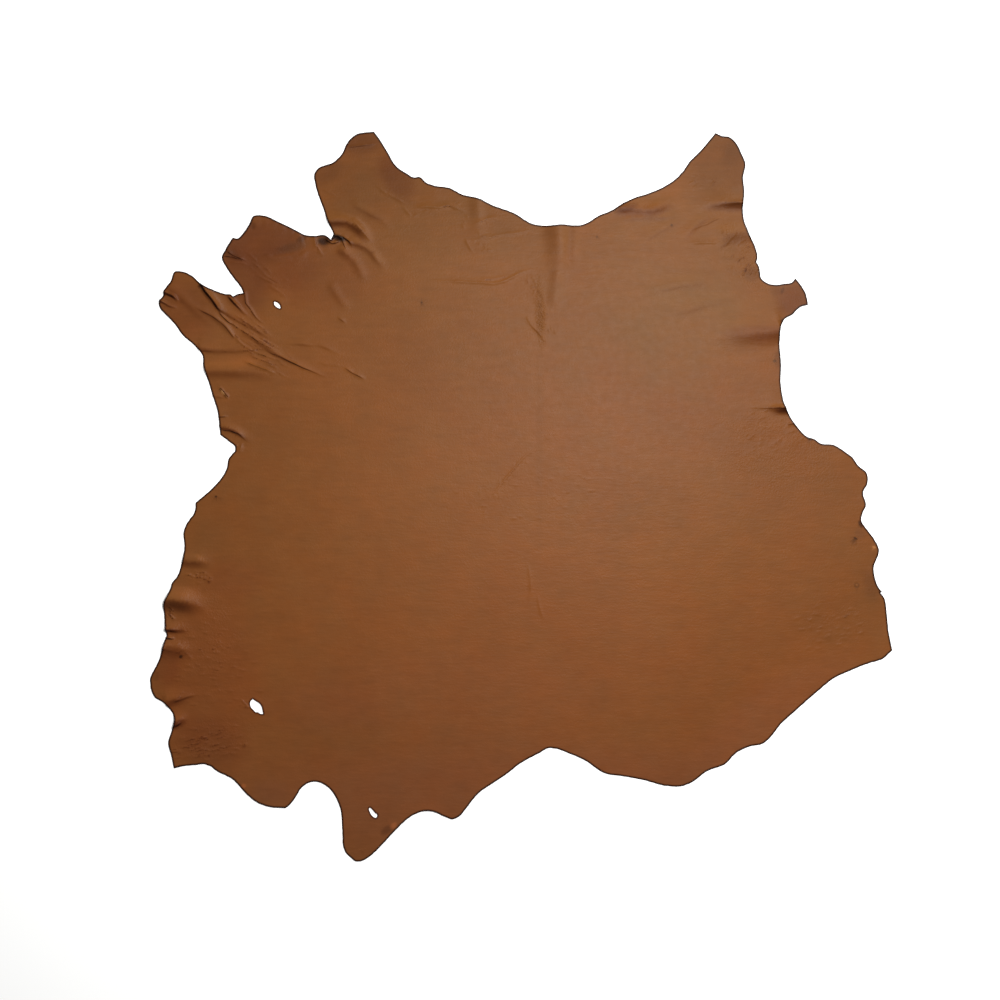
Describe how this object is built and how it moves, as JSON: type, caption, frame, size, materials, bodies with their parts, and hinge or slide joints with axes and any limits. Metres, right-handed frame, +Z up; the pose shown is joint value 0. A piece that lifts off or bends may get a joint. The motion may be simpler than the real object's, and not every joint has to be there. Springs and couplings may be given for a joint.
{
  "type": "leather hide",
  "caption": "Whole tan cattle hide laid flat with its grain side up: natural cut outline with neck, legs and shanks, flay holes, and soft folds at the forelegs and belly edges.",
  "frame": {"origin": "under the middle of the hide's box, on the surface that the hide lies on", "axes": "+Z up, out of the grain side; +Y towards the neck end; +X across the hide, to the right when the neck end is at the top"},
  "size_m": [2.522, 2.481, 0.0134],
  "materials": {
    "hide_leather": "tan brown, semi-matt pebbled grain with a soft sheen; paler suede-like flesh side"
  },
  "bodies": {
    "root": {"leather_hide": "hide_leather"}
  },
  "joints": []
}
